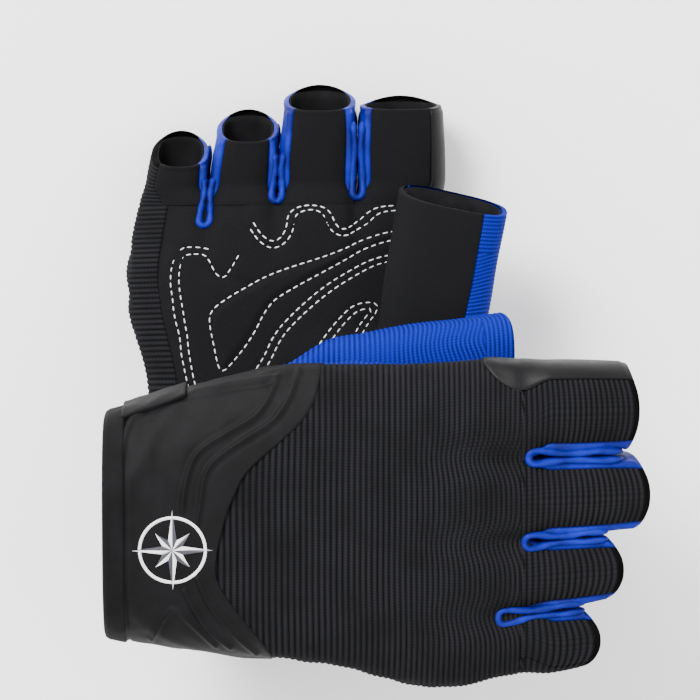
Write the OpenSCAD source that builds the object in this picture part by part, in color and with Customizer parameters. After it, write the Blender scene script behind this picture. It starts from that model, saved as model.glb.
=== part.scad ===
// Two short-finger sailing gloves, one lying back-up across the other, which lies palm-up.
// Each glove: x from the cuff to the fingertips, y towards the thumb, z out of the back of the hand.

/* [Glove] */
// Length from the cuff edge to the finger roots
root_x = 126; // [122:1:132]
// Where the thumb leaves the hand
thumb_x = 70; // [68:1:74]
// Height of the back of the hand above the glove's middle
back_h = 18; // [17:0.5:20]
// Wall of the fabric panels
wall = 1.6; // [1.2:0.1:2]
// Squareness of the rounded sections, 2 being an ellipse
square_n = 2.7; // [2.4:0.1:3]

/* [Closure tab] */
// Width of the tab along the wrist
tab_w = 20; // [16:1:22]
// Thickness of the tab
tab_t = 1.6; // [1.2:0.1:2]

/* [Placing] */
// Height of the upper glove's middle above the surface
top_z = 88; // [88:1:94]
// Roll of the upper glove, little finger down
top_roll = 8; // [6:1:9]
// Lean of the lower glove
base_lean = 0; // [-2:1:2]

/* [Hidden] */
seam = 0.3;                    // gap that lets the finger stalls turn
butt = 0.1;                    // sewn panels stop this far short of their shared seam, along x
turn = 0.15;                   // and this many degrees short of it round the hand
emblem_t = 0.3;
around = 36;                   // facets round a whole section; panel edges lie on them
// x, then value
half_w_at = [[0, 34], [14, 38], [30, 41.7], [51, 45.4], [70, 47], [92, 50], [104, 51], [117, 50], [132, 48]];
mid_y_at = [[0, 1.5], [14, 2.5], [30, 4], [51, 5.5], [70, 4.5], [92, 1.5], [104, 1], [117, 2], [132, 3]];
half_h_at = [[0, 20], [14, 19.5], [30, 19], [51, 18.5], [70, 18], [92, 16.5], [104, 15.5], [117, 14.5], [132, 13]];
// angle round the hand, then the end of the cuff along x
cuff_end_at = [[0, 63], [20, 66], [50, 66], [60, 61], [70, 53], [80, 42], [90, 37], [100, 35.5], [110, 35],
               [130, 41], [150, 48], [180, 53], [200, 48], [230, 42], [300, 40], [330, 48], [360, 63]];
back_from = 10;                // the knit back runs between these angles
back_to = 200;
gusset_from = 330;             // the thumb-side gusset ends where the back begins
// name, root x, root y, half width at root and tip, half height, length, sideways slope, droop, slant of the mouth
index_f = [root_x, 38.2, 12.9, 12, 11, 34, 0.00, 0.14, 2];
middle_f = [root_x, 11.8, 12.7, 11.4, 11, 34.5, 0.03, 0.14, 4];
ring_f = [root_x, -12.6, 10.9, 9.8, 10.5, 25.5, 0.08, 0.14, 5];
pinky_f = [root_x, -34.6, 10, 9, 9.8, 18, 0.11, 0.14, 5.5];
top_thumb_f = [thumb_x, 43, 13.5, 12.5, 11, 52, 0.17, 0, 3];
base_thumb_f = [thumb_x, 46, 16, 17, 11, 54, 0.17, 0, 3];   // lies flatter and further out
thumb_drop = 26;               // the thumb's middle below the glove's middle
tab_from = 20;                 // the tab runs from its sewn root down round the thumb side
tab_to = -70;
tab_lift = 2.4;                // inner face of the tab off the cuff
fastener_t = 0.6;              // hook and loop patches
pad_t = 0.9;                   // palm pads
lift = 0.4;                    // keeps a pad off the facets under it

GLOVE = ["cuff_panel", "under_cuff", "cuff_binding", "back_panel", "palm_heel", "palm_front", "thumb_gusset",
         "heel_pad", "palm_pad", "emblem", "loop_patch", "closure_tab", "hook_patch", "pull_tip",
         "index_back", "index_palm", "index_sides", "middle_back", "middle_palm", "middle_sides",
         "ring_back", "ring_palm", "ring_sides", "pinky_back", "pinky_palm", "pinky_sides",
         "thumb_back", "thumb_palm", "thumb_sides"];

// a number drawn out with its sign kept, for superellipse sections
function drawn(v) = sign(v) * pow(abs(v), 2 / square_n);
function ease(t) = let (c = max(0, min(1, t))) c * c * (3 - 2 * c);
function cuff_end(phi) = lookup(phi > 360 ? phi - 360 : phi, cuff_end_at);
function swell(x, phi) = 14 * ease((x - 22) / (thumb_x - 22)) * pow(max(0, cos(1.8 * max(-50, min(50, phi - 310)))), 2);

// a point on the hand, a depth below its outer face; angle 0 is the thumb side and 90 the back
function hand_at(x, phi, depth, heel = false) =
    let (w = lookup(x, half_w_at) - depth, h = lookup(x, half_h_at) - depth,
         mound = heel ? swell(x, phi) : 0)
    [x, lookup(x, mid_y_at) + w * drawn(cos(phi)) + mound * 0.25,
     back_h - lookup(x, half_h_at) + h * drawn(sin(phi)) - mound];

// a point on a finger stall or the thumb
function stall_at(f, mid_z, s, phi, depth) =
    let (w = f[2] + (f[3] - f[2]) * s - depth, h = f[4] - depth, u = drawn(sin(phi)))
    [f[0] + s * f[5] + s * f[8] * u, f[1] + s * f[5] * f[6] + w * drawn(cos(phi)), mid_z - s * f[5] * f[7] + h * u];

// a wall between an outer and an inner skin; skin(s, t, 0) is the outside and skin(s, t, 1) the inside, s and t 0 to 1
module walled(skin, ns, nt) {
    m = nt + 1;
    n = (ns + 1) * m;
    pts = [for (k = [0, 1], i = [0 : ns], j = [0 : nt]) skin(i / ns, j / nt, k)];
    quads = concat(
        [for (i = [0 : ns - 1], j = [0 : nt - 1]) [i * m + j, (i + 1) * m + j, (i + 1) * m + j + 1, i * m + j + 1]],
        [for (i = [0 : ns - 1], j = [0 : nt - 1])
            [n + i * m + j, n + i * m + j + 1, n + (i + 1) * m + j + 1, n + (i + 1) * m + j]],
        [for (i = [0 : ns - 1]) [i * m, n + i * m, n + (i + 1) * m, (i + 1) * m]],
        [for (i = [0 : ns - 1]) [i * m + nt, (i + 1) * m + nt, n + (i + 1) * m + nt, n + i * m + nt]],
        [for (j = [0 : nt - 1]) [j, j + 1, n + j + 1, n + j]],
        [for (j = [0 : nt - 1]) [ns * m + j, n + ns * m + j, n + ns * m + j + 1, ns * m + j + 1]]);
    polyhedron(points = pts, faces = [for (q = quads, half = [[q[0], q[1], q[2]], [q[0], q[2], q[3]]]) half]);
}

// a panel of the hand between two angles, from one x to another; either end may follow the cuff's edge
module hand_panel(phi0, phi1, x0, x1, ns, outer = 0, inner = wall, heel = false) {
    walled(function(s, t, k)
        let (lo = min(phi0, phi1) + turn, hi = max(phi0, phi1) - turn,
             phi = max(lo, min(hi, phi0 + (phi1 - phi0) * t)),
             a = (is_undef(x0) ? cuff_end(phi) : x0) + butt, b = (is_undef(x1) ? cuff_end(phi) : x1) - butt)
        hand_at(a + (b - a) * s, phi, k == 0 ? outer : inner, heel),
        ns, ceil(abs(phi1 - phi0) * around / 360));
}

module stall_panel(f, mid_z, phi0, phi1) {
    walled(function(s, t, k) stall_at(f, mid_z, s, phi0 + (phi1 - phi0) * t, k * wall), 3, 6);
}

// the hand: cuff, knit back, leather palm and the stretch gusset beside the thumb
module cuff_panel() { color("#202022") hand_panel(0, 180, 0, undef, 4, heel = true); }
module under_cuff() { color("#202022") hand_panel(180, 360, 0, undef, 4, heel = true); }
module cuff_binding() {
    color("#151516") for (a = [0, 180]) hand_panel(a, a + 180, -2.5, 0, 1, -0.2, 2);
}
module back_panel() { color("#2b2b2e") hand_panel(back_from, back_to, undef, root_x - seam, 6); }
module palm_heel() { color("#1b1b1c") hand_panel(back_to, 360 + back_from, undef, thumb_x, 4, heel = true); }
module palm_front() { color("#1b1b1c") hand_panel(back_to, gusset_from, thumb_x, root_x - seam, 4); }
module thumb_gusset() { color("#2447c4") hand_panel(gusset_from, 360 + back_from, thumb_x, root_x - seam, 4); }

// sewn-on pads of the palm
module heel_pad() { color("#232325") hand_panel(210, 260, 44, 68, 2, -pad_t - lift, -lift, heel = true); }
module palm_pad() { color("#232325") hand_panel(210, 290, 72, 112, 3, -pad_t - lift, -lift); }

// a flat four-pointed compass star on the back of the cuff
module emblem() {
    star = [for (k = [0 : 7]) (k % 2 == 0 ? 12 : 4) * [cos(45 * k), sin(45 * k)]];
    color("white") translate([19, -3, back_h]) linear_extrude(emblem_t) polygon(star);
}

// the wrist closure: a tab sewn by the back of the thumb side that wraps under the wrist onto a loop patch
module around_wrist(phi0, phi1, inner, thick) {
    hand_panel(phi0, phi1, 3, 3 + tab_w, 2, -(inner + thick), -inner);
}
module closure_tab() { color("#1a1a1b") around_wrist(tab_to, tab_from, tab_lift, tab_t); }
module hook_patch() { color("#111112") around_wrist(tab_to, tab_to + 30, tab_lift - fastener_t - 0.1, fastener_t); }
module loop_patch() { color("#303033") around_wrist(tab_to - 10, tab_to + 40, lift, fastener_t); }
module pull_tip() { color("#3a3a3c") around_wrist(tab_to - 10, tab_to, tab_lift, tab_t); }

// finger stalls: knit on the back, leather on the palm side, gussets between
module stall_back(f, mid_z = 5, tint = "#2b2b2e") { color(tint) stall_panel(f, mid_z, 35, 145); }
module stall_palm(f, mid_z = 5) { color("#1b1b1c") stall_panel(f, mid_z, 215, 325); }
module stall_sides(f, mid_z = 5) {
    color("#2447c4") for (a = [-35, 145]) stall_panel(f, mid_z, a, a + 70);
}

module glove_part(n, thumb_f) {
    if (n == "cuff_panel") cuff_panel();
    if (n == "under_cuff") under_cuff();
    if (n == "cuff_binding") cuff_binding();
    if (n == "back_panel") back_panel();
    if (n == "palm_heel") palm_heel();
    if (n == "palm_front") palm_front();
    if (n == "thumb_gusset") thumb_gusset();
    if (n == "heel_pad") heel_pad();
    if (n == "palm_pad") palm_pad();
    if (n == "emblem") emblem();
    if (n == "loop_patch") loop_patch();
    if (n == "closure_tab") closure_tab();
    if (n == "hook_patch") hook_patch();
    if (n == "pull_tip") pull_tip();
    if (n == "index_back") stall_back(index_f);
    if (n == "index_palm") stall_palm(index_f);
    if (n == "index_sides") stall_sides(index_f);
    if (n == "middle_back") stall_back(middle_f);
    if (n == "middle_palm") stall_palm(middle_f);
    if (n == "middle_sides") stall_sides(middle_f);
    if (n == "ring_back") stall_back(ring_f);
    if (n == "ring_palm") stall_palm(ring_f);
    if (n == "ring_sides") stall_sides(ring_f);
    if (n == "pinky_back") stall_back(pinky_f);
    if (n == "pinky_palm") stall_palm(pinky_f);
    if (n == "pinky_sides") stall_sides(pinky_f);
    if (n == "thumb_back") stall_back(thumb_f, -thumb_drop, "#2447c4");
    if (n == "thumb_palm") stall_palm(thumb_f, -thumb_drop);
    if (n == "thumb_sides") stall_sides(thumb_f, -thumb_drop);
}

// the two gloves in place, the origin under the middle of the pair
module placed(g) {
    if (g == "top_") translate([-82.3, -47.2, top_z]) rotate([top_roll, 0, 0]) children();
    else translate([-31.5, -70.2, back_h + emblem_t]) rotate([0, 0, 90 - base_lean]) rotate([180, 0, 0]) children();
}

for (g = ["top_", "base_"], n = GLOVE)
    placed(g) glove_part(n, g == "top_" ? top_thumb_f : base_thumb_f);
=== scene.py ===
import math

import bmesh
import bpy
import numpy as np
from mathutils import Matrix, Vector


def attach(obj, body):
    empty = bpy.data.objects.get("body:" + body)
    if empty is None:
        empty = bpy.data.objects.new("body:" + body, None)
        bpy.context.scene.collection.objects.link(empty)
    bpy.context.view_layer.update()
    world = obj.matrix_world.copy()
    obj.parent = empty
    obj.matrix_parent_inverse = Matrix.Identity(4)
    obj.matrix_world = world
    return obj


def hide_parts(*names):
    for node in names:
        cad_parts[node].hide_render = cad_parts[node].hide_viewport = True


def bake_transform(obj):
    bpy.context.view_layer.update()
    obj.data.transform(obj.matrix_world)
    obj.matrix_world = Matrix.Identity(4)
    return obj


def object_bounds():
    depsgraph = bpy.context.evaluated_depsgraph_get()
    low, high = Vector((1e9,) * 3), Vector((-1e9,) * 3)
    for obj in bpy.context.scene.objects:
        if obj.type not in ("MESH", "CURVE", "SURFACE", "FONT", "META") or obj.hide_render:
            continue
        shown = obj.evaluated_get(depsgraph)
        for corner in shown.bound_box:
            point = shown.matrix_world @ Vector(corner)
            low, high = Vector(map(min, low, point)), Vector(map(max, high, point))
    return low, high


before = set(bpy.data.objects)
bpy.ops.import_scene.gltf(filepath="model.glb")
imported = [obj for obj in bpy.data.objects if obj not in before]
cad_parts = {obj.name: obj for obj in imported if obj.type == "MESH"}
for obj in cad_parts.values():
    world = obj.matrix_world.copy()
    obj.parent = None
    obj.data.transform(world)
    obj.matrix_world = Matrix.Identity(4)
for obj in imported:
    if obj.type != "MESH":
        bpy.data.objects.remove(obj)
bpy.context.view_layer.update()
print("stage: frame loaded")

# ---- shared form, in each glove's own millimetres: x to the fingertips, y to the thumb, z out of the back
form = {
    "square": 2.7,  # squareness of the sections
    "rootX": 126.0,  # finger roots
    "thumbX": 70.0,
    "backZ": 18.0,
    "thumbDrop": 26.0,
    "blendLength": 9.0,  # a stall turns from the hand's section to its own over this
    "bendLength": 10,  # a finger joint bends over this
    "stallZ": 5.0,  # middle of the stalls at the roots
    "droop": 0.14,  # fall of the stalls for each millimetre along them
    "knuckles": (38, 12, -12.5, -33),
    "valleys": (25.2, -1.3, -23.8),  # between the fingers
    "halfWidth": [(0, 34), (14, 38), (30, 41.7), (51, 45.4), (70, 47), (92, 50), (104, 51), (117, 50),
                  (132, 48)],
    "midY": {"top_": [(0, 1.5), (14, 2.5), (30, 4), (51, 5.5), (70, 4.5), (92, 2), (104, 2), (117, 4),
                      (132, 5.2)],
             "base_": [(0, 1.5), (14, 2.5), (30, 4), (51, 5.5), (70, 4.5), (92, 1.5), (104, 1), (117, 2),
                       (132, 3)]},
    "halfHeight": [(0, 20), (14, 19.5), (30, 19), (51, 18.5), (70, 18), (92, 16.5), (104, 15.5), (117, 14.5),
                   (132, 13)],
}
fingers = {
    "index": {"y": 39.2, "w": (13.5, 13.0), "h": 11.0, "length": 33.0,
              "slope": 0.00, "slant": 2.0, "cell": (25.2, 46.0)},
    "middle": {"y": 11.8, "w": (12.7, 11.4), "h": 11.0, "length": 34.5,
               "slope": 0.03, "slant": 4.0, "cell": (-1.3, 25.2)},
    "ring": {"y": -12.6, "w": (10.9, 9.8), "h": 10.5, "length": 25.5,
             "slope": 0.08, "slant": 5.0, "cell": (-23.8, -1.3)},
    "pinky": {"y": -34.6, "w": (10.0, 9.0), "h": 9.8, "length": 18.0,
              "slope": 0.11, "slant": 5.5, "cell": (-38.4, -23.8)},
}
thumbs = {
    "top_": {"y": 43.0, "w": (13.5, 12.5), "h": 11.0, "length": 52.0, "slope": 0.17, "slant": 3.0},
    "base_": {"y": 46.0, "w": (16.0, 17.0), "h": 11.0, "length": 57.0,
              "slope": 0.17, "slant": 3.0, "mouthTurn": 3.5},
}
rollAngle = math.radians(8)
placing = {
    "top_": (np.array([[1, 0, 0], [0, math.cos(rollAngle), -math.sin(rollAngle)],
                       [0, math.sin(rollAngle), math.cos(rollAngle)]]), np.array([-82.3, -47.2, 88.0])),
    "base_": (np.array([[0, 1, 0], [1, 0, 0], [0, 0, -1.0]]), np.array([-31.5, -70.2, 18.3])),
}
slackField = {"top_": None, "base_": None}
current = {"glove": "top_"}


def ease(t):
    t = np.clip(t, 0, 1)
    return t * t * (3 - 2 * t)


def drawn(v):
    return np.sign(v) * np.abs(v) ** (2 / form["square"])


def along(x, table):
    xs, vs = zip(*table)
    return sum(np.interp(x + d, xs, vs) for d in (-5, -2.5, 0, 2.5, 5)) / 5


def toWorld(points):
    turn, shift = placing[current["glove"]]
    return (points.reshape(-1, 3) @ turn.T + shift) / 1000


def flat(value):  # the same edge all the way round
    return lambda phi: value + 0 * phi


def ripple(x, y, seed, wave):  # a few crossed sines, for soft unevenness
    total = 0
    for k in range(4):
        turn = seed * 1.7 + k * 2.3
        across = x * math.cos(turn) + y * math.sin(turn)
        total = total + np.sin(across * 2 * math.pi / (wave * (1 + 0.31 * k)) + 3.1 * k + seed)
    return total / 4


def swell(x, phi):  # the ball of the thumb
    off = np.clip((phi - 310 + 180) % 360 - 180, -50, 50)
    alongHand = ease((x - 22) / 48) * (1 - ease((x - 72) / 16))
    return 14 * alongHand * np.maximum(0, np.cos(np.radians(1.8 * off))) ** 2


def relief(x, y, up):  # knuckles and the valleys between the fingers, outwards
    back = np.maximum(up, 0)
    palm = np.maximum(-up, 0)
    out = 0 * x
    for centre in form["knuckles"]:
        out = out + 1.5 * back * np.exp(-((x - 109) / 9) ** 2 - ((y - centre) / 8) ** 2)
    for valley in form["valleys"]:
        out = out - 2.4 * (back + palm) * ease((x - 104) / 22) * np.exp(-((y - valley) / 3.2) ** 2)
    out = out - 0.9 * back
    out = out - 2.2 * palm * np.exp(-((x - 78) / 22) ** 2 - ((y + 4) / 20) ** 2)
    return out


def slack(x, phi):
    field = slackField[current["glove"]]
    if field is None:
        return 0 * x
    rows, cols = field.shape
    i = np.clip(x / form["rootX"] * (rows - 1), 0, rows - 1.001)
    j = (phi % 360) / 360 * (cols - 1)
    i0 = i.astype(int)
    j0 = np.minimum(j.astype(int), cols - 2)
    fi = i - i0
    fj = j - j0
    top = field[i0, j0] * (1 - fj) + field[i0, j0 + 1] * fj
    low = field[i0 + 1, j0] * (1 - fj) + field[i0 + 1, j0 + 1] * fj
    return top * (1 - fi) + low * fi


def handSkin(x, phi, out=0.0):
    x, phi = np.broadcast_arrays(np.asarray(x, float), np.asarray(phi, float))
    angle = np.radians(phi)
    halfWidth = along(x, form["halfWidth"])
    halfHeight = along(x, form["halfHeight"])
    middle = along(x, form["midY"][current["glove"]])
    side = drawn(np.cos(angle))
    up = drawn(np.sin(angle))
    out = out + relief(x, middle + halfWidth * side, up) + slack(x, phi)
    mound = swell(x, phi)
    y = middle + (halfWidth + out) * side + mound * 0.25
    z = form["backZ"] - halfHeight + (halfHeight + out) * up - mound
    return np.stack([x + 0 * y, y, z], -1)


def angleOf(x, y):  # the angle on the back over a given y
    middle = along(x, form["midY"][current["glove"]])
    ratio = np.clip((y - middle) / along(x, form["halfWidth"]), -0.999, 0.999)
    return np.degrees(np.arccos(np.sign(ratio) * np.abs(ratio) ** (form["square"] / 2)))


edgeLine = [(49.5, -37), (46, -31.5), (38, -22.5), (33, -14.5), (32, -10), (33, -2), (36, 9), (41, 19.5),
            (52, 27.5), (60, 33.5), (63.5, 40), (66, 52)]  # end of the cuff over the back
underEdge = [(180, 49.5), (200, 47), (230, 43), (300, 40), (330, 48), (360, 66)]  # angle, then x, below


def cuffEnd(phi):
    phi = np.asarray(phi, float) % 360
    y = 4 + 42.5 * drawn(np.cos(np.radians(phi)))
    shifts = (-2.4, -1.2, 0, 1.2, 2.4)
    over = sum(np.interp(y + d, [p[1] for p in edgeLine], [p[0] for p in edgeLine]) for d in shifts) / 5
    under = np.interp(phi, [p[0] for p in underEdge], [p[1] for p in underEdge])
    return np.where(phi <= 180, over, under)


def lineDistance(x, y, line):
    best = np.full(np.shape(x), 1e9)
    for (ax, ay), (bx, by) in zip(line[:-1], line[1:]):
        dx = bx - ax
        dy = by - ay
        t = np.clip(((x - ax) * dx + (y - ay) * dy) / (dx * dx + dy * dy), 0, 1)
        best = np.minimum(best, np.hypot(x - ax - t * dx, y - ay - t * dy))
    return best


def insideLine(x, y, line):
    hit = np.zeros(np.shape(x), bool)
    for (ax, ay), (bx, by) in zip(line, line[1:] + line[:1]):
        crosses = (ay > y) != (by > y)
        reach = ax + (y - ay) * (bx - ax) / (by - ay if by != ay else 1e-9)
        hit ^= crosses & (x < reach)
    return hit


def smoothLine(line):  # cuts the corners twice
    for _ in range(2):
        cut = [line[0]]
        for a, b in zip(line[:-1], line[1:]):
            cut.append((a[0] * 0.75 + b[0] * 0.25, a[1] * 0.75 + b[1] * 0.25))
            cut.append((a[0] * 0.25 + b[0] * 0.75, a[1] * 0.25 + b[1] * 0.75))
        cut.append(line[-1])
        line = cut
    return line


ribXs = np.arange(-10, 200, 0.1)
ribPhases = np.cumsum(0.1 / np.interp(ribXs, (30, 126), (2.05, 1.5)))


def ribs(x, y, height=0.42):  # raised ribs across the hand; returns height and a 0 to 1 ridge value, which the rib materials use for painted shade in the grooves
    pull = sum(np.exp(-((y - valley) / 5) ** 2) for valley in form["valleys"])
    bend = pull * 2.4 * ease((x - 88) / 34) * (x <= 127)  # the ribs bow towards the webs
    phase = np.interp(x + bend + 0.35 * ripple(x * 0.4, y, 3, 34), ribXs, ribPhases)
    ridge = np.abs(np.sin(math.pi * phase)) ** 0.8
    return height * ridge, ridge ** 1.6


def strip(length, spacing, rollStart, rollEnd):  # positions along an edge, and how far each is turned in
    e = 0.5 / length
    lead = [(0, 1.6), (0, 0.7), (0.3 * e, 0.18)]
    steps = max(3, int(length / spacing)) + 1
    rows = [(v, 0) for v in np.linspace(e if rollStart else 0, 1 - e if rollEnd else 1, steps)]
    if rollStart:
        rows = lead + rows
    if rollEnd:
        rows = rows + [(1 - a, b) for a, b in reversed(lead)]
    return np.array([r[0] for r in rows]), np.array([r[1] for r in rows])


def arcTable(phi0, phi1):
    phi = np.linspace(phi0, phi1, 12001)
    angle = np.radians(phi)
    y = 46 * drawn(np.cos(angle))
    z = 17.5 * drawn(np.sin(angle))
    arc = np.concatenate([[0], np.cumsum(np.hypot(np.diff(y), np.diff(z)))])
    return arc / arc[-1], phi, arc[-1]


def handGrid(span, start, end, step, raised, rollX=(1, 1), rollP=(1, 1), flip=False):
    arcT, arcPhi, arcLength = arcTable(*span)
    tp, dp = strip(arcLength, step[1], *rollP)
    phi = np.interp(tp, arcT, arcPhi)
    a = start(phi)
    b = end(phi)
    tx, dx = strip(float(np.mean(b - a)), step[0], *rollX)
    x = a + (b - a) * tx[:, None]
    phiGrid = phi + 0 * x
    flat = handSkin(x, phiGrid)
    lift, rise = raised(x, flat[..., 1], phiGrid)
    points = handSkin(x, phiGrid, lift - np.maximum(dx[:, None], dp[None, :]))
    uv = np.stack([x, tp * arcLength + 0 * x], -1)
    return {"points": points, "uv": uv, "rise": rise + 0 * x, "flip": flip}


def makePiece(name, grids, material):
    bm = bmesh.new()
    for grid in grids:
        rows, cols = grid["points"].shape[:2]
        made = bmesh.ops.create_grid(bm, x_segments=cols - 1, y_segments=rows - 1, size=1)
        if grid.get("flip"):
            faces = list({f for v in made["verts"] for f in v.link_faces})
            bmesh.ops.reverse_faces(bm, faces=faces)
    mesh = bpy.data.meshes.new(name)
    bm.to_mesh(mesh)
    bm.free()
    points = np.concatenate([g["points"].reshape(-1, 3) for g in grids])
    mesh.vertices.foreach_set("co", toWorld(points).ravel())
    loopVerts = np.empty(len(mesh.loops), int)
    mesh.loops.foreach_get("vertex_index", loopVerts)
    uv = np.concatenate([g["uv"].reshape(-1, 2) for g in grids])
    mesh.uv_layers.new(name="cloth").data.foreach_set("uv", uv[loopVerts].ravel())
    rise = np.concatenate([np.broadcast_to(g["rise"], g["points"].shape[:2]).ravel() for g in grids])
    # rise is the ridge value; the rib materials turn it into painted shade in the grooves and painted highlight
    # on the ridges
    mesh.attributes.new("rise", "FLOAT", "POINT").data.foreach_set("value", rise)
    mesh.polygons.foreach_set("use_smooth", [True] * len(mesh.polygons))
    bm = bmesh.new()
    bm.from_mesh(mesh)
    bmesh.ops.remove_doubles(bm, verts=bm.verts, dist=2e-6)
    bm.to_mesh(mesh)
    bm.free()
    mesh.update()
    piece = bpy.data.objects.new(name, mesh)
    bpy.context.collection.objects.link(piece)
    piece.data.materials.append(material)
    return piece


# ---- finger stalls
def rootCurve(finger, zone, t, out):
    low, high = finger["cell"]
    rootX = form["rootX"]
    if zone == "back":
        return handSkin(rootX, angleOf(rootX, high + (low - high) * t), out)
    if zone == "palm":
        return handSkin(rootX, 360 - angleOf(rootX, low + (high - low) * t), out)
    upper = zone == "high"
    y = high if upper else low
    outer = (finger is fingers["index"] and upper) or (finger is fingers["pinky"] and not upper)
    backAngle = float(angleOf(rootX, y))
    if outer and upper:
        return handSkin(rootX, -backAngle + 2 * backAngle * t, out)
    if outer:
        return handSkin(rootX, backAngle + 2 * (180 - backAngle) * t, out)
    ends = [handSkin(rootX, backAngle), handSkin(rootX, 360 - backAngle)]
    a, b = (ends[1], ends[0]) if upper else (ends[0], ends[1])
    points = a + (b - a) * np.asarray(t)[..., None]
    points[..., 1] += -0.1 if upper else 0.1
    return points


zoneSpans = {"high": (-50, 50), "back": (50, 130), "low": (130, 230), "palm": (230, 310)}


def stallSkin(finger, s, t, zone, out):
    phi0, phi1 = zoneSpans[zone]
    angle = np.radians(phi0 + (phi1 - phi0) * t)
    side = drawn(np.cos(angle))
    up = drawn(np.sin(angle))
    length = finger["length"]
    w = finger["w"][0] + (finger["w"][1] - finger["w"][0]) * s
    puff = 0.5 * np.sin(math.pi * np.clip(s, 0, 1))
    bow = 2.6 * s * np.maximum(up, 0) * (0.6 - side ** 2)  # the mouth's back edge is curved
    x = form["rootX"] + s * length + s * finger["slant"] * up + bow
    y = finger["y"] + s * length * finger["slope"] + (w + out + puff) * side
    fall = form["droop"] * length * s
    z = form["stallZ"] - fall + (finger["h"] + out + puff) * up
    own = np.stack([x, y, z], -1)
    root = rootCurve(finger, zone, t, out)
    root = root + np.stack([x - form["rootX"], s * length * finger["slope"] + 0 * x, 0 * x - fall], -1)
    m = ease(s * length / form["blendLength"])[..., None]
    return root + (own - root) * m


def stallGrid(finger, zone, step, raised):
    phi0, phi1 = zoneSpans[zone]
    width = (finger["w"][0] + finger["h"]) * math.radians(phi1 - phi0)
    arcPhi = np.linspace(0, 1, 2001)
    angle = np.radians(phi0 + (phi1 - phi0) * arcPhi)
    arc = np.hypot(np.diff(drawn(np.cos(angle))), np.diff(drawn(np.sin(angle))))
    arc = np.concatenate([[0], np.cumsum(arc)])
    tt, dt = strip(width * 0.5, step[1], 1, 1)
    t = np.interp(tt, arc / arc[-1], arcPhi)
    if zone in ("back", "palm"):
        t = 0.5 * t + 0.5 * tt  # even both at the root and along the stall
    ts, ds = strip(finger["length"], step[0], 0, 1)
    s = ts[:, None] + 0 * t[None, :]
    tGrid = t[None, :] + 0 * s
    lift, rise = raised(form["rootX"] + s * finger["length"], tGrid * width * 0.5, tGrid)
    hem = ease((s * finger["length"] - finger["length"] + 1.7) / 0.5)  # flat turned hem at the mouth
    # with no ridge value the hem takes the painted groove shade all over
    rise = rise * (1 - hem)
    lift = lift + hem * (0.3 - lift)
    turnedIn = np.maximum(ds[:, None], dt[None, :] * ease(s * finger["length"] / 4))
    points = stallSkin(finger, s, tGrid, zone, lift - turnedIn)
    uv = np.stack([form["rootX"] + s * finger["length"], tGrid * width * 0.5], -1)
    return {"points": points, "uv": uv, "rise": rise + 0 * s}


def thumbSkin(thumb, s, phi, out):
    angle = np.radians(phi)
    side = drawn(np.cos(angle))
    up = drawn(np.sin(angle))
    length = thumb["length"]
    sunk = ease(-s / 0.42)
    w = thumb["w"][0] + (thumb["w"][1] - thumb["w"][0]) * np.maximum(s, 0) - 5 * sunk
    h = thumb["h"] - 2 * sunk
    puff = 0.7 * np.sin(math.pi * np.clip(s, 0, 1))
    mouth = thumb["slant"] * up - thumb.get("mouthTurn", 0) * side
    x = form["thumbX"] + s * length + np.maximum(s, 0) * mouth
    y = thumb["y"] + s * length * thumb["slope"] + (w + out + puff) * side
    z = -form["thumbDrop"] + 14 * sunk + (h + out + puff) * up
    return np.stack([x, y, z], -1)


def thumbGrid(thumb, span, fromS, step, raised):
    length = thumb["length"] * (1 - fromS)
    phiFine = np.linspace(span[0], span[1], 4001)
    angle = np.radians(phiFine)
    across = np.diff(thumb["w"][0] * drawn(np.cos(angle)))
    arc = np.hypot(across, np.diff(thumb["h"] * drawn(np.sin(angle))))
    arc = np.concatenate([[0], np.cumsum(arc)])
    tt, dt = strip(arc[-1], step[1], 1, 1)
    phi = np.interp(tt, arc / arc[-1], phiFine)
    ts, ds = strip(length, step[0], 0, 1)
    s = fromS + (1 - fromS) * ts[:, None] + 0 * phi[None, :]
    phiGrid = phi + 0 * s
    x = form["thumbX"] + s * thumb["length"]
    around = tt[None, :] * arc[-1] + 0 * s
    lift, rise = raised(x, around, phiGrid)
    points = thumbSkin(thumb, s, phiGrid, lift - np.maximum(ds[:, None], dt[None, :]))
    return {"points": points, "uv": np.stack([x, around], -1), "rise": rise + 0 * s}


# ---- materials
def linear(code):
    values = [int(code[i:i + 2], 16) / 255 for i in (1, 3, 5)]
    return [v / 12.92 if v <= 0.04045 else ((v + 0.055) / 1.055) ** 2.4 for v in values] + [1]


def addNode(tree, kind, props=None, inputs=None):
    node = tree.nodes.new(kind)
    for key, value in (props or {}).items():
        setattr(node, key, value)
    for key, value in (inputs or {}).items():
        if isinstance(value, bpy.types.NodeSocket):
            tree.links.new(value, node.inputs[key])
        else:
            node.inputs[key].default_value = value
    return node


def newMaterial(name, rough, sheen=0.0, specular=0.4):
    material = bpy.data.materials.new(name)
    material.use_nodes = True
    tree = material.node_tree
    shader = tree.nodes["Principled BSDF"]
    shader.inputs["Roughness"].default_value = rough
    shader.inputs["Sheen Weight"].default_value = sheen
    shader.inputs["Sheen Roughness"].default_value = 0.45
    shader.inputs["Specular IOR Level"].default_value = specular
    coords = addNode(tree, "ShaderNodeTexCoord")
    mm = addNode(tree, "ShaderNodeVectorMath", {"operation": "SCALE"},
                 {0: coords.outputs["Object"], "Scale": 1000.0})
    return material, tree, shader, mm.outputs[0]


def noiseNode(tree, vector, period, detail=3.0, rough=0.55):
    values = {"Vector": vector, "Scale": 1 / period, "Detail": detail, "Roughness": rough}
    return addNode(tree, "ShaderNodeTexNoise", None, values).outputs["Fac"]


def span(tree, value, low, high, toLow=0.0, toHigh=1.0):
    limits = {"From Min": low, "From Max": high, "To Min": toLow, "To Max": toHigh}
    return addNode(tree, "ShaderNodeMapRange", None, dict(limits, Value=value)).outputs["Result"]


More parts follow.
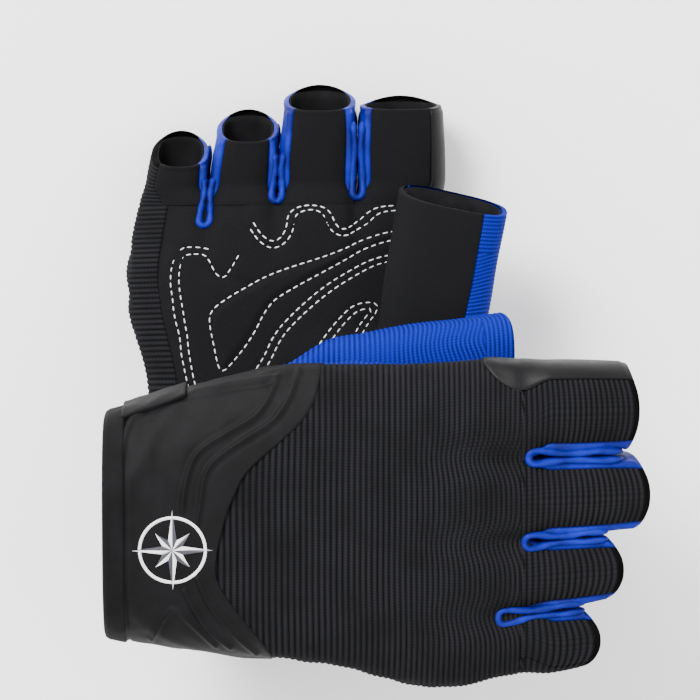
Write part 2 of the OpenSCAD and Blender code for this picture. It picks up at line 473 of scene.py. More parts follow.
def mixColour(tree, factor, a, b):
    node = addNode(tree, "ShaderNodeMix", {"data_type": "RGBA"})
    for index, value in ((0, factor), (6, a), (7, b)):
        if isinstance(value, bpy.types.NodeSocket):
            tree.links.new(value, node.inputs[index])
        else:
            node.inputs[index].default_value = value
    return node.outputs[2]


def maths(tree, operation, a, b=0.0):
    return addNode(tree, "ShaderNodeMath", {"operation": operation}, {0: a, 1: b}).outputs[0]


def bumpTo(tree, shader, height, strength, distance):
    bump = addNode(tree, "ShaderNodeBump", None,
                   {"Height": height, "Strength": strength, "Distance": distance})
    tree.links.new(bump.outputs[0], shader.inputs["Normal"])


def ribMaterial(name, grooveShade, ridge, worn, rough, sheen):  # knitted ribs with a beaded stitch along each, with painted shade in the grooves and painted highlight on the ridges and bead tops
    material, tree, shader, mm = newMaterial(name, rough, sheen, 0.06)
    rise = addNode(tree, "ShaderNodeAttribute", {"attribute_name": "rise"}).outputs["Fac"]
    uv = addNode(tree, "ShaderNodeUVMap", {"uv_map": "cloth"}).outputs[0]
    split = addNode(tree, "ShaderNodeSeparateXYZ", None, {0: uv})
    wobble = noiseNode(tree, mm, 3.0)
    beadPhase = maths(tree, "ADD", maths(tree, "MULTIPLY", split.outputs[1], 2 * math.pi / 0.9),
                      maths(tree, "MULTIPLY", wobble, 2.5))
    bead = maths(tree, "ABSOLUTE", maths(tree, "SINE", maths(tree, "MULTIPLY", beadPhase, 0.5)))
    beaded = maths(tree, "ADD", maths(tree, "MULTIPLY", bead, 0.35), 0.65)
    # painted shade and highlight: the groove colour fills the grooves and the gaps between beads, the ridge
    # colour the ridge and bead tops
    mixed = mixColour(tree, maths(tree, "MULTIPLY", rise, beaded), linear(grooveShade), linear(ridge))
    wear = span(tree, noiseNode(tree, mm, 14.0), 0.4, 0.75)
    colour = mixColour(tree, maths(tree, "MULTIPLY", wear, 0.5), mixed, linear(worn))
    tree.links.new(colour, shader.inputs["Base Color"])
    fuzz = noiseNode(tree, mm, 0.35)
    height = maths(tree, "ADD", maths(tree, "MULTIPLY", bead, 0.4), maths(tree, "MULTIPLY", fuzz, 0.5))
    bumpTo(tree, shader, height, 0.55, 0.0002)
    return material


def grainMaterial(name, dark, light, rough, sheen, grain, depth, specular=0.35):  # short nap or foam skin
    material, tree, shader, mm = newMaterial(name, rough, sheen, specular)
    broad = span(tree, noiseNode(tree, mm, 18.0, 4.0), 0.3, 0.7)
    fine = span(tree, noiseNode(tree, mm, grain, 5.0, 0.65), 0.3, 0.7)
    mottle = maths(tree, "ADD", maths(tree, "MULTIPLY", broad, 0.5), maths(tree, "MULTIPLY", fine, 0.5))
    colour = mixColour(tree, mottle, linear(dark), linear(light))
    tree.links.new(colour, shader.inputs["Base Color"])
    tree.links.new(span(tree, broad, 0, 1, rough - 0.08, min(1.0, rough + 0.08)), shader.inputs["Roughness"])
    bumpTo(tree, shader, fine, 0.5, depth)
    return material


def weaveMaterial(name, dark, light, rough, sheen, pitch, depth, specular=0.4):  # fine over-and-under cloth
    material, tree, shader, mm = newMaterial(name, rough, sheen, specular)
    uv = addNode(tree, "ShaderNodeUVMap", {"uv_map": "cloth"}).outputs[0]
    split = addNode(tree, "ShaderNodeSeparateXYZ", None, {0: uv})
    one = maths(tree, "SINE", maths(tree, "MULTIPLY", split.outputs[0], 2 * math.pi / pitch))
    two = maths(tree, "SINE", maths(tree, "MULTIPLY", split.outputs[1], 2 * math.pi / pitch))
    weave = maths(tree, "MULTIPLY", one, two)
    broad = span(tree, noiseNode(tree, mm, 9.0), 0.35, 0.7)
    shade = maths(tree, "ADD", maths(tree, "MULTIPLY", weave, 0.25), maths(tree, "MULTIPLY", broad, 0.7))
    mixed = mixColour(tree, shade, linear(dark), linear(light))
    tree.links.new(mixed, shader.inputs["Base Color"])
    bumpTo(tree, shader, weave, 0.4, depth)
    return material


materials = {
    # rib colours: the groove colour is painted shade, the ridge colour the lit yarn, and the worn colour random
    # wear
    "knit": ribMaterial("BlackRibKnit", "#010101", "#1e1e21", "#09090a", 0.92, 0.0),
    "blueRib": ribMaterial("BlueRibKnit", "#01052c", "#091c98", "#07157c", 0.75, 0.0),  # thumb and side
    "palm": grainMaterial("PalmMicrofibre", "#060607", "#101012", 0.9, 0.0, 0.5, 0.0001, 0.1),
    "cuff": weaveMaterial("CuffNeoprene", "#060607", "#0e0e10", 0.6, 0.0, 0.7, 0.00008, 0.1),
    "binding": weaveMaterial("BindingTape", "#050506", "#101012", 0.75, 0.0, 0.5, 0.0001, 0.1),
    "blueSatin": weaveMaterial("BlueStretchSatin", "#020856", "#0b20a8", 0.5, 0.0, 0.45, 0.00006, 0.14),
    "strip": grainMaterial("SmoothStrip", "#060607", "#0e0e10", 0.5, 0.0, 0.8, 0.00005, 0.14),  # smooth skin
    "lining": weaveMaterial("LiningJersey", "#070708", "#151517", 0.9, 0.0, 0.9, 0.0001, 0.1),  # dull, inside
    "whiteThread": weaveMaterial("WhiteThread", "#b9b9bd", "#e8e8ea", 0.6, 0.1, 0.5, 0.00005),
    "printLight": grainMaterial("PrintWhite", "#d6d6da", "#f2f2f4", 0.5, 0.0, 0.6, 0.00003),
    "printDark": grainMaterial("PrintGrey", "#2c2c31", "#4a4a52", 0.5, 0.0, 0.6, 0.00003),
    "hook": weaveMaterial("HookTape", "#050505", "#161617", 0.55, 0.0, 1.2, 0.0003, 0.15),  # stiff hooks
    "loop": grainMaterial("LoopPile", "#0c0c0d", "#202023", 0.95, 0.1, 0.6, 0.0004, 0.1),  # fuzzy pile
    "rubber": grainMaterial("PullRubber", "#121214", "#1e1e20", 0.5, 0.0, 1.0, 0.00003, 0.25),  # moulded pull
}
print("stage: materials")


# ---- how slack the sewn shell is: a sleeve of cloth, a little too long, settled on the hand
def settleSleeve(glove, settings):
    current["glove"] = glove
    rows, cols = settings["rows"], settings["cols"]
    x = np.linspace(0, form["rootX"], rows)[:, None] + np.zeros(cols)
    phi = np.linspace(0, 360, cols)[None, :] + 0 * x
    scale = 0.01  # millimetres to ten times life size, which suits the solver
    objects = []
    for out, name in ((0.0, "sleeve"), (-1.2, "handForm")):
        bm = bmesh.new()
        bmesh.ops.create_grid(bm, x_segments=cols - 1, y_segments=rows - 1, size=1)
        mesh = bpy.data.meshes.new(name)
        bm.to_mesh(mesh)
        bm.free()
        mesh.vertices.foreach_set("co", (handSkin(x, phi, out) * scale).ravel())
        thing = bpy.data.objects.new(name, mesh)
        bpy.context.collection.objects.link(thing)
        objects.append(thing)
    sleeve, hand = objects
    hand.modifiers.new("touch", "COLLISION")
    hand.collision.thickness_outer = 0.004
    pins = sleeve.vertex_groups.new(name="pins")
    held = np.zeros((rows, cols), bool)
    held[[0, -1]] = True
    held[:, [0, -1]] = True
    seam = int(222 / 360 * (cols - 1))  # where knit meets palm
    held[:, seam] = True
    pins.add([int(k) for k in np.flatnonzero(held.ravel())], 1.0, "REPLACE")
    cloth = sleeve.modifiers.new("cloth", "CLOTH")
    cloth.settings.quality = 6
    cloth.settings.mass = 0.25
    cloth.settings.tension_stiffness = 18
    cloth.settings.compression_stiffness = 18
    cloth.settings.bending_stiffness = settings["bending"]
    cloth.settings.shrink_min = -settings["spare"]
    cloth.settings.vertex_group_mass = "pins"
    cloth.settings.effector_weights.gravity = settings["gravity"]
    cloth.collision_settings.distance_min = 0.004
    cloth.point_cache.frame_end = settings["frames"]
    scene = bpy.context.scene
    for step in range(1, settings["frames"] + 1):
        scene.frame_set(step)
    graph = bpy.context.evaluated_depsgraph_get()
    settled = sleeve.evaluated_get(graph).to_mesh()
    found = np.empty(rows * cols * 3)
    settled.vertices.foreach_get("co", found)
    found = found.reshape(rows, cols, 3) / scale
    base = handSkin(x, phi)
    outward = handSkin(x, phi, 1.0) - base
    outward /= np.linalg.norm(outward, axis=-1, keepdims=True)
    offset = ((found - base) * outward).sum(-1)
    for _ in range(settings["blur"]):
        offset[1:-1, 1:-1] = (offset[1:-1, 1:-1] * 2 + offset[:-2, 1:-1] + offset[2:, 1:-1]
                              + offset[1:-1, :-2] + offset[1:-1, 2:]) / 6
    sleeve.evaluated_get(graph).to_mesh_clear()
    for thing in objects:
        mesh = thing.data
        bpy.data.objects.remove(thing)
        bpy.data.meshes.remove(mesh)
    scene.frame_set(1)
    print("sleeve", glove, "slack mm", round(float(offset.min()), 2), round(float(offset.max()), 2))
    return np.clip(offset * settings["share"], -1.6, 1.6)


sleeveSettings = {
    "top_": {"rows": 64, "cols": 110, "spare": 0.035, "bending": 0.6, "gravity": 0.3, "frames": 22,
             "blur": 2, "share": 0.8},
    "base_": {"rows": 64, "cols": 110, "spare": 0.045, "bending": 0.9, "gravity": 0.6, "frames": 20,
              "blur": 2, "share": 0.8},
}
for glove, settings in sleeveSettings.items():
    slackField[glove] = settleSleeve(glove, settings)
print("stage: slack settled")

# ---- lines drawn on the gloves
hemLine = smoothLine([
    (3.5, -40), (3.0, -20), (2.8, 5), (3.2, 26), (5.5, 36), (13.5, 41.5), (30.5, 45.0), (50.0, 48.5)])
weltLines = [smoothLine(line) for line in (
    [(51.5, 49.0), (46.5, 38.5), (38.0, 33.5), (29.0, 28.5), (25.0, 24.5), (22.5, 15.0), (22.0, 9.0)],
    [(58.0, 50.5), (52.0, 37.0), (41.0, 30.5), (32.0, 24.5), (28.5, 19.5), (27.5, 10.5), (26.5, 5.5)],
    [(22.5, -15.5), (25.5, -21.5), (29.5, -28.5), (36.5, -34.5)],
    [(26.5, -11.5), (30.0, -20.0), (36.0, -28.0), (44.5, -36.5)],
    [(12.0, -31.5), (16.5, -23.0), (19.5, -20.5), (24.5, -26.0), (32.0, -34.0)])]
loopLine = smoothLine([
    (118, 39.5), (116.5, 30.5), (110.0, 17.0), (105.0, 1.0), (101.5, -7.0), (95.5, -17.0), (92.0, -21.5),
    (88.5, -22.5), (80.5, -21.0), (73.0, -19.5), (72.0, -18.0), (74.5, -15.5), (83.0, -9.0), (94.0, -3.5),
    (98.5, 3.5), (106.5, 18.0), (113.0, 29.0), (115.5, 39.5)])
edgeStitch = smoothLine([
    (67.0, -26.5), (77.5, -28.5), (89.0, -30.0), (100.5, -32.0), (106.5, -31.5), (109.5, -31.0),
    (110.0, -28.0), (110.0, -24.0), (107.5, -22.0), (103.5, -20.5), (102.0, -18.0), (105.0, -15.5),
    (109.5, -13.0)])
edgeStitchTwo = smoothLine([
    (66.0, -29), (75.0, -30.8), (86.0, -32.6), (96.5, -34.2), (103.0, -34.6), (108.5, -33.6),
    (112.0, -31.5), (112.4, -27.0), (111.5, -22.0)])
padEdge = smoothLine([
    (118.5, -9.5), (114.0, -6.5), (111.5, -2.5), (113.5, 2.0), (118.0, 4.5), (122.0, 4.5), (124.0, 7.0),
    (124.6, 11.0), (123.0, 14.0), (117.5, 16.0), (115.5, 20.0), (117.5, 24.5), (120.0, 28.5), (122.5, 30.5),
    (124.0, 33.5), (124.4, 41)])
padEdgeTwo = smoothLine([
    (120.6, -8.5), (116.2, -5.8), (113.8, -2.4), (115.3, 0.6), (119.0, 2.3), (123.0, 2.6), (125.6, 6.0),
    (126.0, 11.5), (124.6, 15.6), (119.2, 17.6), (117.8, 20.0), (119.4, 23.6), (121.6, 26.8), (124.2, 29.0),
    (125.6, 32.5), (126, 41)])
sweep = smoothLine([
    (110.5, 40), (109.0, 30.5), (105.5, 23.5), (99.5, 14.0), (91.5, 5.0), (84.0, -2.0), (76.0, -5.5),
    (69.0, -10.5)])
sweepTwo = smoothLine([
    (108.6, 40), (107.1, 31.3), (103.7, 24.8), (97.7, 15.6), (90.0, 7.0), (82.8, 0.2), (75.2, -3.2),
    (68.2, -8.2)])
arch = smoothLine([
    (74, 8.0), (79.5, 11.5), (85.0, 15.5), (91.5, 21.0), (94.0, 24.5), (94.5, 30.0), (92.0, 31.0),
    (87.0, 27.5), (82.0, 24.5), (75, 21.5)])
archTwo = smoothLine([
    (74, 10.4), (78.5, 13.6), (84.0, 17.6), (90.0, 22.6), (92.0, 25.4), (92.3, 28.4), (91.5, 28.6),
    (87.6, 25.6), (82.6, 22.6), (75, 19.5)])
stitchLines = [loopLine, edgeStitch, edgeStitchTwo, padEdge, padEdgeTwo, sweep, sweepTwo, arch, archTwo]


def palmRaise(x, y, phi):
    out = 0.27 * ripple(x, y, 5, 46)
    near = lineDistance(x, y, loopLine)
    padded = np.where(insideLine(x, y, loopLine[:-1]), ease(near / 2.4), 0)
    out = out + 0.7 * padded
    for line in stitchLines:
        out = out - 0.32 * np.exp(-(lineDistance(x, y, line) / 0.75) ** 2)
    beyond = x - np.interp(y, [p[1] for p in padEdge], [p[0] for p in padEdge])
    out = out + 0.5 * ease(beyond / 2.0) * ease((y + 12) / 3)
    for fold in ([(60, -20), (72, 2), (80, 20)], [(112, -34), (104, -24), (100, -10)]):
        out = out - 0.6 * np.exp(-(lineDistance(x, y, smoothLine(fold)) / 2.2) ** 2)
    return out, 0 * x


def cuffRaise(x, y, phi):
    over = np.sin(np.radians(phi)) > 0.0
    under = ease(np.minimum(np.abs(phi - 182), np.abs(phi - 358)) / 14) * (phi > 182)
    out = (1.0 + 0.25 * ripple(x, y, 2, 38)) * (1 - 0.85 * under)
    near = lineDistance(x, y, hemLine)
    out = out + over * (0.55 * np.exp(-((near - 0.1) / 0.7) ** 2) - 0.4 * np.exp(-((near - 1.5) / 0.6) ** 2))
    for line in weltLines:
        d = lineDistance(x, y, line)
        out = out + over * (0.75 * np.exp(-(d / 0.65) ** 2) - 0.15 * np.exp(-((d - 1.7) / 0.7) ** 2))
    return out, 0 * x


def knitRaise(x, y, phi):
    height, ridge = ribs(x, y)
    fold = 0.5 * np.exp(-(lineDistance(x, y, [(104, 46), (98, 20), (100, -10), (96, -44)]) / 6) ** 2)
    return height + 0.4 * ripple(x, y, 7, 52) - fold * 0.8, ridge


def blueRaise(x, y, phi):
    height, ridge = ribs(x * 1.12, y, 0.3)
    crease = lineDistance(x, phi * 0.6, [(58, 4), (78, -6), (84, -20)])
    return height + 0.5 * ripple(x, y, 9, 26) - 1.2 * np.exp(-(crease / 2.2) ** 2), ridge


def tucked(raised):  # sinks under the cuff, so that its own rows can stay square to the hand
    def sunk(x, y, phi):
        out, rise = raised(x, y, phi)
        return out - 1.0 * ease((cuffEnd(phi) - 2 - x) / 2), rise
    return sunk


def startRow(limits):
    return flat(float(np.min(cuffEnd(np.linspace(*limits, 200)))) - 3)


def plainRaise(amount, seed=1, wave=20.0, size=0.25):
    return lambda x, y, phi: (amount + size * ripple(x, y, seed, wave), 0 * x)


def tubeShell(skin, rows, cols, inner, outer):  # a thin tube with an inside and an outside
    s = np.concatenate([np.linspace(0, 1, rows), np.linspace(1, 0, rows), [0]])
    depth = np.concatenate([np.full(rows, inner), np.full(rows, outer), [inner]])
    t = np.linspace(0, 1, cols)
    sGrid = s[:, None] + 0 * t
    tGrid = t[None, :] + 0 * sGrid
    points = skin(sGrid, tGrid, depth[:, None] + 0 * sGrid)
    return {"points": points, "uv": np.stack([sGrid * 60, tGrid * 60], -1), "rise": 0 * sGrid}


def satinRaise(x, y, t):  # folds at both edges of a gusset
    folds = np.exp(-((t - 0.09) / 0.07) ** 2) + np.exp(-((t - 0.91) / 0.07) ** 2)
    return 0.1 + 0.5 * ripple(x * 0.6, y * 2.2, 6, 11) + 1.2 * folds, 0 * x


def stallTube(finger, s, t, out):
    angle = 2 * math.pi * t
    w = finger["w"][0] + (finger["w"][1] - finger["w"][0]) * s
    side = drawn(np.cos(angle))
    up = drawn(np.sin(angle))
    x = form["rootX"] + 7 + s * (finger["length"] - 7.5) + s * finger["slant"] * up
    y = finger["y"] + s * finger["length"] * finger["slope"] + (w + out) * side
    z = form["stallZ"] - s * finger["length"] * form["droop"] + (finger["h"] + out) * up
    return np.stack([x, y, z], -1)


def cuffPoint(x, y, out):
    phi = angleOf(x, y)
    return handSkin(x, phi, out + cuffRaise(x, y, phi)[0])


def palmPoint(x, y, out):
    phi = 360 - angleOf(x, y)
    return handSkin(x, phi, out + palmRaise(x, y, phi)[0])


def stitchMesh(name, lines, pointAt, settings, material):
    rng = np.random.default_rng(settings["seed"])
    grids = []
    u = np.linspace(-1, 1, 7)
    v = np.linspace(0, 1, 7)
    for line in lines:
        pts = np.array(line)
        steps = np.hypot(*np.diff(pts, axis=0).T)
        arc = np.concatenate([[0], np.cumsum(steps)])
        for centre in np.arange(settings["pitch"] * 0.5, arc[-1], settings["pitch"]):
            half = settings["length"] / 2 * rng.uniform(0.92, 1.06)
            where = np.array([centre - half, centre, centre + half])
            x = np.interp(where, arc, pts[:, 0])
            y = np.interp(where, arc, pts[:, 1])
            spot = pointAt(x, y, settings["lift"])
            ahead = spot[2] - spot[0]
            ahead /= np.linalg.norm(ahead)
            outward = pointAt(x[1:2], y[1:2], settings["lift"] + 1)[0] - spot[1]
            outward /= np.linalg.norm(outward)
            sideways = np.cross(outward, ahead)
            radius = settings["width"] / 2 * np.sqrt(np.maximum(1 - u ** 2, 0)) ** 0.6
            ring = v * 2 * math.pi
            body = (spot[1] + ahead * (u * half)[:, None, None]
                    + sideways * (radius[:, None] * np.cos(ring))[..., None]
                    + outward * (0.8 * radius[:, None] * np.sin(ring))[..., None])
            grids.append({"points": body, "uv": np.stack(np.meshgrid(v * 2, u * 2), -1), "rise": 0})
    return makePiece(name, grids, material)


# ---- one glove after the other
for glove in ("top_", "base_"):
    current["glove"] = glove
    hand = glove + "hand"
    thumb = thumbs[glove]
    rootX = form["rootX"]

    # cuff of padded neoprene, with its welts and hem ridge
    cuffSettings = {"step": (0.55, 0.6)}
    overCuff = handGrid((-2, 182), flat(1.5), cuffEnd, cuffSettings["step"], cuffRaise, (0, 1), (0, 0))
    underCuff = handGrid((182, 358), flat(1.5), cuffEnd, (0.8, 0.9), cuffRaise, (0, 1), (0, 0))
    cuff = makePiece(glove + "Cuff", [overCuff, underCuff], materials["cuff"])
    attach(cuff, hand)
    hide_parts(glove + "cuff_panel", glove + "under_cuff")

    # binding folded over the wrist edge
    bindSettings = {"profile": [(6.2, -1.4), (6.0, -2.1), (3.0, -2.1), (-1.0, -1.9), (-2.3, -1.2),
                                (-2.7, 0.0), (-2.3, 1.0), (-1.2, 1.6), (1.0, 1.7), (3.3, 1.75), (4.0, 1.55),
                                (4.2, 0.9)],
                    "around": 181}
    phi = np.interp(np.linspace(0, 1, bindSettings["around"]), *arcTable(0, 360)[:2])
    rows = []
    for x, out in bindSettings["profile"]:
        row = handSkin(0 * phi + x, phi, out + 0.12 * ripple(phi, 0 * phi + x, 4, 17))
        row[..., 0] = x
        rows.append(row)
    uv = np.stack(np.broadcast_arrays(np.arange(len(rows))[:, None] * 1.2, phi[None, :] * 0.4), -1)
    band = {"points": np.stack(rows), "uv": uv, "rise": 0, "flip": False}
    binding = makePiece(glove + "WristBinding", [band], materials["binding"])
    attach(binding, hand)
    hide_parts(glove + "cuff_binding")

    # ribbed knit over the back and the little finger's edge, palm of microfibre, blue stretch side
    skinSettings = {
        "KnitBack": {"step": (0.36, 1.15), "span": (-4, 222), "beyond": 0.25, "roll": (0, 0.2),
                     "raise": knitRaise, "look": "knit", "cloth": "rib_knit", "nodes": ["back_panel"]},
        "Palm": {"step": (0.7, 0.8), "span": (222, 325), "beyond": 0.25, "roll": (0, 0.2),
                 "raise": palmRaise, "look": "palm", "cloth": "palm_microfibre",
                 "nodes": ["palm_heel", "palm_front", "heel_pad", "palm_pad"]},
        "BlueSide": {"step": (0.36, 0.9), "span": (325, 356.5), "beyond": 0, "roll": (0, 0),
                     "raise": blueRaise, "look": "blueRib", "cloth": "blue_stretch", "nodes": ["thumb_gusset"]}}
    for title, skin in skinSettings.items():
        grid = handGrid(skin["span"], startRow(skin["span"]), flat(rootX + skin["beyond"]), skin["step"],
                        tucked(skin["raise"]), skin["roll"], (1, 1))
        piece = makePiece(glove + title, [grid], materials[skin["look"]])
        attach(piece, hand)
        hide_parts(*[glove + node for node in skin["nodes"]])

    # lining of the hand
    liningGrid = tubeShell(lambda s, t, d: handSkin(1 + 124.5 * s, 360 * t, d), 30, 97, -2.2, -1.7)
    lining = makePiece(glove + "HandLining", [dict(liningGrid, flip=True)], materials["lining"])
    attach(lining, hand)

    # smooth overlay that runs from the knuckle on to the forefinger's outer side
    stripSettings = {"step": (0.6, 0.8), "reach": 12, "raise": plainRaise(0.75, 3, 24)}
    edge = float(angleOf(rootX, fingers["index"]["cell"][1]))

    def roundedStart(phi):
        return rootX - stripSettings["reach"] * np.sqrt(np.clip(1 - (phi / edge) ** 2, 0.03, 1))

    stripBase = handGrid((-edge, edge), roundedStart, flat(rootX), stripSettings["step"],
                         stripSettings["raise"], (1, 0), (1, 1))
    base = makePiece(glove + "StripBase", [stripBase], materials["strip"])
    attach(base, hand)

    # finger stalls
    for name, finger in fingers.items():
        body = glove + name
        stallSettings = {"knit": (0.3, 0.9), "palm": (0.7, 0.9), "side": (0.5, 0.8), "strip": (0.7, 0.8),
                         "edge": (0.3, 0.8)}
        knitZone = stallGrid(finger, "back", stallSettings["knit"], knitRaise)
        palmZone = stallGrid(finger, "palm", stallSettings["palm"], plainRaise(0.2, 3, 15))
        sides = {"high": "blueSatin", "low": "blueSatin"}
        if name == "index":
            sides["high"] = "strip"
        if name == "pinky":
            sides["low"] = "knit"
        pieces = [(name.title() + "Knit", [knitZone], "knit", "rib_knit", [body + "_back"]),
                  (name.title() + "Palm", [palmZone], "palm", "palm_microfibre", [body + "_palm"])]
        satin = [z for z, kind in sides.items() if kind == "blueSatin"]
        gussets = [stallGrid(finger, z, stallSettings["side"], satinRaise) for z in satin]
        pieces.append((name.title() + "Gusset", gussets, "blueSatin", "blue_stretch", [body + "_sides"]))
        for z, kind in sides.items():
            if kind == "strip":
                stripGrid = stallGrid(finger, z, stallSettings["strip"], stripSettings["raise"])
                pieces.append(("IndexStrip", [stripGrid], "strip", "palm_microfibre", []))
            if kind == "knit":
                edgeGrid = stallGrid(finger, z, stallSettings["edge"], knitRaise)
                pieces.append(("PinkyEdgeKnit", [edgeGrid], "knit", "rib_knit", []))
        tube = tubeShell(lambda s, t, d: stallTube(finger, s, t, d), 12, 49, -1.9, -1.4)
        pieces.append((name.title() + "Lining", [dict(tube, flip=True)], "lining", "loop_fabric", []))
        for title, grids, kind, slotName, nodes in pieces:
            piece = makePiece(glove + title, grids, materials[kind])
            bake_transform(piece)
            if nodes:
                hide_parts(*nodes)

    # folded satin loops in the webs, one half to each finger
    names = list(fingers)
    loopSettings = {"radius": 1.9, "thick": 1.25, "tall": 3.2, "rings": 72, "around": 20, "nominal": 34,
                    "noses": {"middle": 4.2, "ring": 3.0, "pinky": -5.0}, "nosePart": 0.16,
                    "short": 3.2, "rounded": 0.14}  # short of the mouths, with rounded free ends
    for upperName, lowerName in zip(names[:-1], names[1:]):
        upper, lower = fingers[upperName], fingers[lowerName]
        noseX = loopSettings["noses"][lowerName]
        for sign, name, finger in ((1, upperName, upper), (-1, lowerName, lower)):
            grids = []
            for level in (1, -1):
                q = np.linspace(0, 1, loopSettings["rings"])
                nose = np.clip(q / loopSettings["nosePart"], 0, 1) * math.pi / 2
                run = np.clip((q - loopSettings["nosePart"]) / (1 - loopSettings["nosePart"]), 0, 1)
                reach = min(f["length"] + level * f["slant"] for f in (upper, lower)) - loopSettings["short"]
                x = rootX + noseX - loopSettings["radius"] * np.cos(nose) + run * (reach - noseX)
                s = (x - rootX) / loopSettings["nominal"]
                halfHigh = upper["w"][0] + (upper["w"][1] - upper["w"][0]) * s
                halfLow = lower["w"][0] + (lower["w"][1] - lower["w"][0]) * s
                gapHigh = upper["y"] - halfHigh + (x - rootX) * upper["slope"]
                gapLow = lower["y"] + halfLow + (x - rootX) * lower["slope"]
                aside = loopSettings["radius"] * np.sin(nose) * (1 - 0.35 * ease(run * 3))
                aside = aside + 0.25 * np.sin(run * 9 + level) - 0.7 * (1 - ease(nose * 5 / math.pi))
                y = (gapHigh + gapLow) / 2 + sign * aside
                droop = np.maximum(x - rootX, 0) * form["droop"]
                onHand = np.minimum(x, rootX)
                around = angleOf(onHand, y)
                web = handSkin(onHand, around if level > 0 else 360 - around)[..., 2]
                edgeZ = form["stallZ"] + level * (finger["h"] * 0.86)
                z = web + (edgeZ - web) * ease((x - rootX) / 9) - droop - level * (loopSettings["tall"] - 1.3)
                centre = np.stack([x, y, z], -1)
                ahead = np.gradient(centre, axis=0)
                ahead /= np.linalg.norm(ahead, axis=-1, keepdims=True)
                sideways = np.cross(ahead, np.array([0, 0, 1.0]))
                sideways /= np.linalg.norm(sideways, axis=-1, keepdims=True)
                upward = np.cross(sideways, ahead)
                v = np.linspace(0, 2 * math.pi, loopSettings["around"] + 1)
                ending = np.clip((run - 1 + loopSettings["rounded"]) / loopSettings["rounded"], 0, 1)
                closing = np.sqrt(np.maximum(1 - ending ** 2, 0.002))
                thick = loopSettings["thick"] * (1 + 0.12 * np.sin(q * 23 + level)) * closing
                wide = (thick[:, None] * drawn(np.cos(v)))[..., None]
                high = (loopSettings["tall"] * np.sin(v) * closing[:, None])[..., None]
                tube = centre[:, None, :] + sideways[:, None, :] * wide + upward[:, None, :] * high
                uv = np.stack(np.broadcast_arrays(v * 2, (q * loopSettings["nominal"])[:, None]), -1)
                grids.append({"points": tube, "uv": uv, "rise": 0, "flip": True})
            title = upperName.title() + lowerName.title() + ("LoopUpper" if sign > 0 else "LoopLower")
            loop = makePiece(glove + title, grids, materials["blueSatin"])
            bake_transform(loop)
    print("stage: stalls", glove)

    # thumb: ribbed blue back and outer side, microfibre palm side
    thumbSettings = {"rib": (0.33, 0.9), "palm": (0.7, 0.9), "from": -0.42, "bend": (60, 84, -26)}
    thumbBack = thumbGrid(thumb, (-62, 150), thumbSettings["from"], thumbSettings["rib"], blueRaise)
    thumbPalm = thumbGrid(thumb, (150, 298), thumbSettings["from"], thumbSettings["palm"],
                          plainRaise(0.3, 8, 22, 0.4))
    tube = tubeShell(lambda s, t, d: thumbSkin(thumb, s * 0.99, 360 * t, d), 16, 49, -2.0, -1.5)
    for title, grids, kind, slotName, nodes in (
            ("ThumbBack", [thumbBack], "blueRib", "blue_stretch", ["thumb_back", "thumb_sides"]),
            ("ThumbPalm", [thumbPalm], "palm", "palm_microfibre", ["thumb_palm"]),
            ("ThumbLining", [dict(tube, flip=True)], "lining", "loop_fabric", [])):
        piece = makePiece(glove + title, grids, materials[kind])
        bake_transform(piece)
        if nodes:
            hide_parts(*[glove + n for n in nodes])

    # wrist closure: strap, hook and loop patches, moulded pull
    tab = glove + "tab"
    strapSettings = {"step": (0.8, 0.8), "rootAt": (13, 40.0, 8.8), "freeAt": (13, 41.6, 2.0), "hug": 1.7,
                     "pullWave": 0.35}
    strapParts = {"Strap": ("closure_tab", (290, 380), 3, 23, 4.0, 2.4, "cuff", "cuff_neoprene", tab),
                  "HookPatch": ("hook_patch", (291, 320), 4, 22, 2.35, 1.75, "hook", "hook_tape", tab),
                  "LoopPatch": ("loop_patch", (280, 330), 3.5, 22.5, 1.15, 0.3, "loop", "loop_fabric", hand),
                  "PullTip": ("pull_tip", (280, 291), 3, 23, 4.2, 2.4, "rubber", "pull_rubber", tab)}
    for title, (node, limits, x0, x1, top, bottom, kind, slotName, body) in strapParts.items():
        wave = strapSettings["pullWave"] if title == "PullTip" else 0.0
        hug = strapSettings["hug"] if title == "Strap" else 0.0  # the sewn root lies close to the cuff

        def raised(x, y, phi):
            return top - wave * np.cos(phi * math.pi / 1.6) ** 2 - hug * ease((phi - 325) / 40), 0 * x

        def sunk(x, y, phi):
            return bottom - hug * ease((phi - 325) / 40) + 0 * x, 0 * x

        face = handGrid(limits, flat(x0), flat(x1), strapSettings["step"], raised)
        under = handGrid(limits, flat(x0), flat(x1), strapSettings["step"], sunk, (0, 0), (0, 0), True)
        piece = makePiece(glove + title, [face, under], materials[kind])
        if title == "Strap":  # its sewn root stays on the cuff while the rest turns
            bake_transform(piece)
        else:
            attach(piece, body)
        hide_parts(glove + node)
    print("stage: thumb and closure", glove)

    # stitching
    palmStitches = {"pitch": 2.55, "length": 1.85, "width": 0.5, "lift": 0.12, "seed": 4}
    thread = stitchMesh(glove + "PalmStitches", stitchLines, palmPoint, palmStitches,
                        materials["whiteThread"])
    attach(thread, hand)

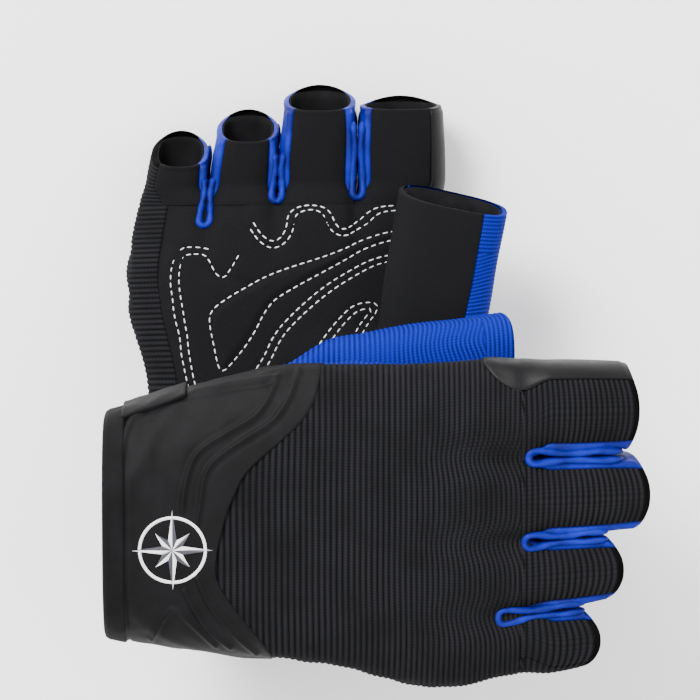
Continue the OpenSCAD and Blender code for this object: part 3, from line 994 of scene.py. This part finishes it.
    # compass star and ring printed on the cuff
    starSettings = {"centre": (19.0, -3.0), "long": 12.5, "short": 7.5, "waist": 3.4, "lift": 0.3,
                    "ring": [(9.6, -0.1), (9.65, 0.15), (9.9, 0.28), (10.3, 0.28), (10.55, 0.15),
                             (10.6, -0.1)]}
    cx, cy = starSettings["centre"]
    tones = {"printLight": [], "printDark": []}
    u = np.linspace(0, 1, 7)[:, None]
    v = np.linspace(0, 1, 5)[None, :]
    for k in range(8):
        reach = starSettings["long"] if k % 2 == 0 else starSettings["short"]
        tipAt = (cx + reach * math.cos(k * math.pi / 4), cy + reach * math.sin(k * math.pi / 4))
        for flank, tone in ((1, "printLight"), (-1, "printDark")):  # each point has a light and a dark side
            turned = k * math.pi / 4 + flank * math.pi / 8
            waist = (cx + starSettings["waist"] * math.cos(turned),
                     cy + starSettings["waist"] * math.sin(turned))
            a, b = (tipAt, waist) if flank > 0 else (waist, tipAt)
            px = cx + u * ((1 - v) * (a[0] - cx) + v * (b[0] - cx))
            py = cy + u * ((1 - v) * (a[1] - cy) + v * (b[1] - cy))
            lift = starSettings["lift"] - 0.25 * (np.abs(2 * v - 1) > 0.9) - 0 * px
            tones[tone].append({"points": cuffPoint(px, py, lift), "uv": np.stack([px, py], -1), "rise": 0,
                                "flip": True})
    sweepAngle = np.linspace(0, 2 * math.pi, 73)[None, :]
    ringRadius, ringLift = np.array(starSettings["ring"]).T[..., None]
    px = cx + ringRadius * np.cos(sweepAngle)
    py = cy + ringRadius * np.sin(sweepAngle)
    tones["printLight"].append({"points": cuffPoint(px, py, ringLift + 0 * px), "uv": np.stack([px, py], -1),
                                "rise": 0, "flip": True})
    for tone, grids in tones.items():
        badge = makePiece(glove + "Badge" + tone[5:], grids, materials[tone])
        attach(badge, hand)
        if tone == "printLight":
            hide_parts(glove + "emblem")
    print("stage: stitching and badge", glove)

# ---- stage
bpy.context.view_layer.update()
lowest = float(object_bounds()[0][2])
bm = bmesh.new()
bmesh.ops.create_grid(bm, x_segments=1, y_segments=1, size=3)
floorMesh = bpy.data.meshes.new("Floor")
bm.to_mesh(floorMesh)
bm.free()
for vertex in floorMesh.vertices:
    vertex.co.z = lowest - 0.0002
floor = bpy.data.objects.new("Floor", floorMesh)
bpy.context.collection.objects.link(floor)
floorMaterial = bpy.data.materials.new("PaleFloor")
floorMaterial.use_nodes = True
floorMaterial.node_tree.nodes["Principled BSDF"].inputs["Base Color"].default_value = linear("#fbfbfb")
floorMaterial.node_tree.nodes["Principled BSDF"].inputs["Roughness"].default_value = 0.9
floor.data.materials.append(floorMaterial)

world = bpy.data.worlds.new("SoftRoom")
bpy.context.scene.world = world
world.use_nodes = True
world.node_tree.nodes["Background"].inputs["Color"].default_value = (1, 1, 1, 1)
world.node_tree.nodes["Background"].inputs["Strength"].default_value = 1.6
lights = (("KeyLight", (-0.7, 0.9, 1.3), 0.7, 66), ("FillLight", (1.1, 0.2, 1.0), 1.2, 8),
          ("RimLight", (0.1, -1.2, 0.8), 1.0, 8))
for name, spot, size, power in lights:
    lamp = bpy.data.lights.new(name, "AREA")
    lamp.energy = power
    lamp.size = size
    lampObject = bpy.data.objects.new(name, lamp)
    lampObject.location = spot
    lampObject.rotation_euler = (-lampObject.location).to_track_quat("-Z", "Y").to_euler()
    bpy.context.collection.objects.link(lampObject)
camera = bpy.data.cameras.new("Camera")
camera.lens = 235
camera.sensor_width = 36
camera.clip_end = 20
cameraObject = bpy.data.objects.new("Camera", camera)
cameraObject.location = (-0.0088, 0.0088, 1.508)
bpy.context.collection.objects.link(cameraObject)
bpy.context.scene.camera = cameraObject
print("stage: stage and camera")

bpy.context.view_layer.update()
